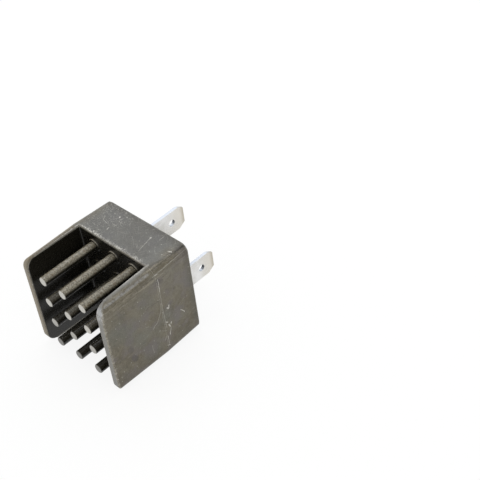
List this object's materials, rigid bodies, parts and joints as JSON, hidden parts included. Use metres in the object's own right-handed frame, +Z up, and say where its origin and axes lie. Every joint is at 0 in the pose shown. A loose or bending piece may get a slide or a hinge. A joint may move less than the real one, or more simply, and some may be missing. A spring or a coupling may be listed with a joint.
{
  "type": "automotive relay",
  "caption": "Plug-in solid-state relay: blade terminals on a moulded base that closes a die-cast heat sink with cooling pins between two guard plates.",
  "frame": {"origin": "middle of the flat face that seats on the socket, on the blade side of the base plate", "axes": "+Y along the blades, away from the body; the cooling pins point to -Y; +X across the two guard plates; +Z up, towards the single vertical blade, as the part lies in the picture"},
  "size_m": [0.028, 0.0374, 0.0274],
  "materials": {
    "black_cast_aluminium": "die-cast, thin black coating worn back to grey metal",
    "black_moulded_nylon": "moulded glass-filled nylon",
    "sealing_resin": "cured sealing resin",
    "tinned_brass": "stamped, bright tin plate",
    "glass_epoxy_board": "glass-epoxy laminate with green lacquer",
    "solder": "soldered, smooth",
    "black_epoxy_moulding": "transfer-moulded epoxy",
    "tinned_copper": "tinned copper",
    "silicone_pad": "filled silicone sheet",
    "spring_steel": "stamped spring steel",
    "plated_steel": "zinc-plated steel",
    "ceramic_chip": "glazed thick-film chip",
    "ceramic_capacitor": "sintered ceramic chip"
  },
  "bodies": {
    "root": {"heat_sink_housing": "black_cast_aluminium", "base_plate": "black_moulded_nylon", "sealing_bead": "sealing_resin", "supply_blade": "tinned_brass", "control_blade": "tinned_brass", "ground_blade": "tinned_brass", "load_blade": "tinned_brass", "circuit_board": "glass_epoxy_board", "solder_joints": "solder", "power_transistor_body": "black_epoxy_moulding", "power_transistor_tab": "tinned_copper", "power_transistor_leads": "tinned_copper", "thermal_pad": "silicone_pad", "transistor_clamp": "spring_steel", "clamp_screw": "plated_steel", "driver_chip_body": "black_epoxy_moulding", "driver_chip_leads": "tinned_copper", "suppression_diode": "black_epoxy_moulding", "gate_resistor": "ceramic_chip", "bias_resistor": "ceramic_chip", "filter_capacitor": "ceramic_capacitor"}
  },
  "joints": []
}
